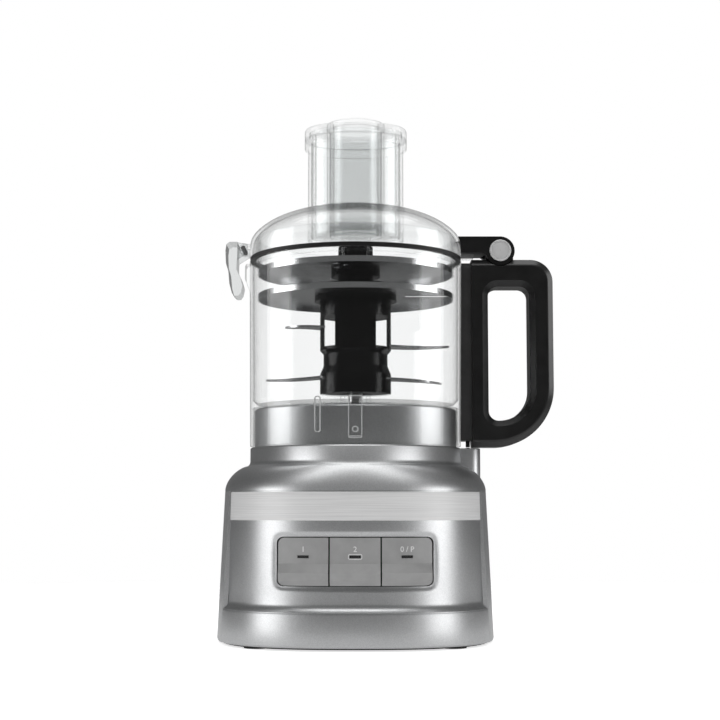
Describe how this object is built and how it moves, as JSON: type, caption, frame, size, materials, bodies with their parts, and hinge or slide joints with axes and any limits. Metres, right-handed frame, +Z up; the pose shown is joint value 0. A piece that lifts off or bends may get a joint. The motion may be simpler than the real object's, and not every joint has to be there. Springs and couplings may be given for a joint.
{
  "type": "food processor",
  "caption": "Food processor with a silver motor base, paddle buttons, a clear bowl with a black handle, a hinged clear lid with feed chute, a blade and discs.",
  "frame": {"origin": "middle of the underside of the object's box, on the surface it stands on", "axes": "+Z up, -Y towards the user and the buttons, +X towards the handle"},
  "size_m": [0.2386, 0.1848, 0.3796],
  "materials": {
    "silver_paint": "satin metallic paint",
    "trim_metal": "fine horizontal brushing",
    "black_plastic": "satin moulded",
    "gloss_black": "gloss moulded",
    "grey_plastic": "satin moulded",
    "button_grey": "satin",
    "light_window": "smoked lens",
    "clear_plastic": "clear, polished",
    "rubber": "soft matt",
    "steel": "turned",
    "blade_steel": "polished stainless",
    "silver_cap": "satin chrome",
    "cast_aluminium": "as cast",
    "iron": "laminated",
    "copper": "enamelled copper wire",
    "circuit_board": "solder mask"
  },
  "bodies": {
    "base": {"front_housing": "silver_paint", "rear_housing": "silver_paint", "top_housing": "silver_paint", "trim_band": "trim_metal", "bottom_cover": "black_plastic", "feet": "rubber", "bottom_screws": "steel", "chassis_plate": "black_plastic", "cord_inlet": "rubber", "control_board": "circuit_board", "button_switches": "black_plastic", "spindle_bearings": "steel", "bearing_tube": "cast_aluminium", "shaft_seal": "rubber", "drive_belt": "rubber", "motor_core": "iron", "field_windings": "copper", "motor_frames": "cast_aluminium", "interlock_switch": "black_plastic"},
    "button_1": {"button_1": "button_grey", "light_1": "light_window"},
    "button_2": {"button_2": "button_grey", "light_2": "light_window"},
    "button_pulse": {"button_pulse": "button_grey", "light_pulse": "light_window"},
    "spindle": {"drive_spindle": "steel", "driven_pulley": "black_plastic"},
    "rotor": {"rotor_core": "iron", "commutator": "copper", "motor_shaft": "steel", "cooling_fan": "black_plastic", "motor_pulley": "steel"},
    "interlock_pin": {"interlock_pin": "grey_plastic"},
    "bowl": {"bowl": "clear_plastic", "handle_front": "black_plastic", "handle_back": "black_plastic", "handle_screws": "steel", "handle_mount": "grey_plastic", "hinge_pin": "steel", "hinge_cap": "silver_cap"},
    "interlock_rod": {"interlock_rod": "grey_plastic"},
    "blade_set": {"blade_hub": "gloss_black", "blades": "blade_steel", "disc_stem": "gloss_black", "slicing_disc": "blade_steel", "slicing_disc_hub": "gloss_black", "shredding_disc": "blade_steel", "shredding_disc_hub": "gloss_black"},
    "lid": {"lid": "clear_plastic", "lid_seal": "rubber", "lid_hinge_arm": "black_plastic", "latch_pin": "steel"},
    "latch": {"latch_lever": "clear_plastic"},
    "large_pusher": {"large_pusher": "clear_plastic"},
    "small_pusher": {"small_pusher": "clear_plastic"}
  },
  "joints": [
    {"name": "button_1_press", "type": "slide", "parent": "base", "child": "button_1", "axis": [0, 1, 0], "range_m": [0, 0.003], "stiffness_N_per_m": 900, "springref_m": -0.001},
    {"name": "button_2_press", "type": "slide", "parent": "base", "child": "button_2", "axis": [0, 1, 0], "range_m": [0, 0.003], "stiffness_N_per_m": 900, "springref_m": -0.001},
    {"name": "button_pulse_press", "type": "slide", "parent": "base", "child": "button_pulse", "axis": [0, 1, 0], "range_m": [0, 0.003], "stiffness_N_per_m": 900, "springref_m": -0.001},
    {"name": "spindle_spin", "type": "hinge", "parent": "base", "child": "spindle", "pos_m": [-0.0218, -0.008, 0.1], "axis": [0, 0, 1], "continuous": true},
    {"name": "motor_spin", "type": "hinge", "parent": "base", "child": "rotor", "pos_m": [-0.0218, 0.039, 0.06], "axis": [0, 0, 1], "continuous": true},
    {"name": "bowl_lift", "type": "slide", "parent": "base", "child": "bowl", "axis": [0, 0, 1], "range_m": [0, 0.08]},
    {"name": "interlock_pin_rise", "type": "slide", "parent": "base", "child": "interlock_pin", "axis": [0, 0, 1], "range_m": [0, 0.0025]},
    {"name": "blade_spin", "type": "hinge", "parent": "bowl", "child": "blade_set", "pos_m": [-0.0218, -0.008, 0.2], "axis": [0, 0, 1], "continuous": true},
    {"name": "lid_hinge", "type": "hinge", "parent": "bowl", "child": "lid", "pos_m": [0.0818, -0.008, 0.2768], "axis": [0, 1, 0], "range_deg": [0, 95]},
    {"name": "interlock_rod_rise", "type": "slide", "parent": "bowl", "child": "interlock_rod", "axis": [0, 0, 1], "range_m": [0, 0.0025]},
    {"name": "latch_swing", "type": "hinge", "parent": "lid", "child": "latch", "pos_m": [-0.1023, -0.008, 0.279], "axis": [0, 1, 0], "range_deg": [0, 35], "stiffness_Nm_per_rad": 0.05, "springref_deg": -2.86},
    {"name": "large_pusher_lift", "type": "slide", "parent": "lid", "child": "large_pusher", "axis": [0, 0, 1], "range_m": [0, 0.085]},
    {"name": "small_pusher_lift", "type": "slide", "parent": "large_pusher", "child": "small_pusher", "axis": [0, 0, 1], "range_m": [0, 0.09]}
  ],
  "couplings": [
    {"joint": "motor_spin", "follows": "spindle_spin", "ratio": 4},
    {"joint": "blade_spin", "follows": "spindle_spin", "ratio": 1},
    {"joint": "interlock_pin_rise", "follows": "bowl_lift", "ratio": 0.03125},
    {"joint": "interlock_rod_rise", "follows": "lid_hinge", "m_per_rad": 0.0015078}
  ]
}
